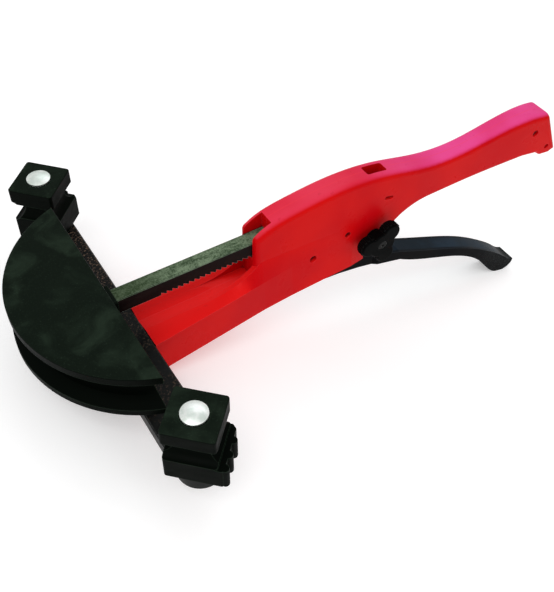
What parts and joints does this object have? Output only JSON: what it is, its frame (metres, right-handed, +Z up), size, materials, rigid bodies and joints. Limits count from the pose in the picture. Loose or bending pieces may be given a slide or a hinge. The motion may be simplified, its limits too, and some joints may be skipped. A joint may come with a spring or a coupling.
{
  "type": "manual tube bender",
  "caption": "Hand ratchet tube bender: pistol-grip housing with lever, toothed rack carrying a half-round former between two swivelling grooved blocks on a crossbar.",
  "frame": {"origin": "midway between the two guide block pins, at the height of the tube's centre line", "axes": "+X the way the former advances, +Y towards the release knob side along the crossbar, +Z up along the guide block pins"},
  "size_m": [0.5432, 0.3412, 0.2265],
  "materials": {
    "housing_paint": "glossy red paint on die-cast aluminium",
    "moulded_black": "satin black glass-filled polymer, faintly green",
    "knob_black": "satin black polymer",
    "lever_black": "satin black, textured tip",
    "black_steel": "black oxide",
    "rack_steel": "black oxide with worn grey-green top",
    "bright_zinc": "bright zinc plate",
    "hard_steel": "ground hardened steel",
    "bronze": "sintered bronze",
    "wear_polymer": "natural acetal",
    "spring_steel": "drawn spring wire"
  },
  "bodies": {
    "frame": {"housing_near": "housing_paint", "housing_far": "housing_paint", "housing_screws": "black_steel", "housing_nuts": "bright_zinc", "crossbar": "black_steel", "crossbar_washers": "bright_zinc", "crossbar_bolts": "black_steel", "crossbar_nuts": "bright_zinc", "near_block_spacer": "black_steel", "far_block_spacer": "black_steel", "rack_wear_strip": "wear_polymer", "lever_pivot_pin": "hard_steel", "holding_pawl_pin": "black_steel", "lever_return_spring": "spring_steel", "holding_pawl_spring": "spring_steel", "shaft_bush": "bronze"},
    "carriage": {"rack": "rack_steel", "former": "moulded_black", "former_screw": "bright_zinc", "rack_stop_pin": "hard_steel"},
    "lever": {"lever": "lever_black", "lever_bush": "bronze", "drive_pawl_pin": "hard_steel", "drive_pawl_spring": "spring_steel"},
    "drive_pawl": {"drive_pawl": "hard_steel"},
    "holding_pawl": {"holding_pawl": "hard_steel"},
    "release": {"release_knob": "knob_black", "release_shaft": "hard_steel", "knob_screw": "black_steel"},
    "near_block": {"near_guide_block": "moulded_black", "near_block_bush": "bronze"},
    "far_block": {"far_guide_block": "moulded_black", "far_block_bush": "bronze"},
    "near_pin": {"near_plug_pin": "bright_zinc", "near_detent_ball": "hard_steel"},
    "far_pin": {"far_plug_pin": "bright_zinc", "far_detent_ball": "hard_steel"}
  },
  "joints": [
    {"name": "rack_slide", "type": "slide", "parent": "frame", "child": "carriage", "axis": [1, 0, 0], "range_m": [-0.1, 0]},
    {"name": "lever_swing", "type": "hinge", "parent": "frame", "child": "lever", "pos_m": [-0.205, 0, -0.052], "axis": [0, 1, 0], "range_deg": [0, 25], "stiffness_Nm_per_rad": 4, "springref_deg": -71.62, "deforming": ["lever_return_spring"]},
    {"name": "drive_pawl_pivot", "type": "hinge", "parent": "lever", "child": "drive_pawl", "pos_m": [-0.205, 0, -0.026], "axis": [0, 1, 0], "range_deg": [-31, 0]},
    {"name": "release_turn", "type": "hinge", "parent": "frame", "child": "release", "pos_m": [-0.248, 0, -0.041], "axis": [0, 1, 0], "range_deg": [-50, 0]},
    {"name": "holding_pawl_pivot", "type": "hinge", "parent": "frame", "child": "holding_pawl", "pos_m": [-0.219, 0, -0.026], "axis": [0, 1, 0], "range_deg": [0, 16], "deforming": ["holding_pawl_spring"]},
    {"name": "near_block_swivel", "type": "hinge", "parent": "frame", "child": "near_block", "pos_m": [0, 0.139, 0], "axis": [0, 0, 1], "continuous": true},
    {"name": "far_block_swivel", "type": "hinge", "parent": "frame", "child": "far_block", "pos_m": [0, -0.139, 0], "axis": [0, 0, 1], "continuous": true},
    {"name": "near_pin_pull", "type": "slide", "parent": "frame", "child": "near_pin", "axis": [0, 0, 1], "range_m": [0, 0.075]},
    {"name": "far_pin_pull", "type": "slide", "parent": "frame", "child": "far_pin", "axis": [0, 0, 1], "range_m": [0, 0.075]}
  ],
  "couplings": [
    {"joint": "drive_pawl_pivot", "follows": "lever_swing", "ratio": -1.2},
    {"joint": "holding_pawl_pivot", "follows": "release_turn", "ratio": -0.3}
  ]
}
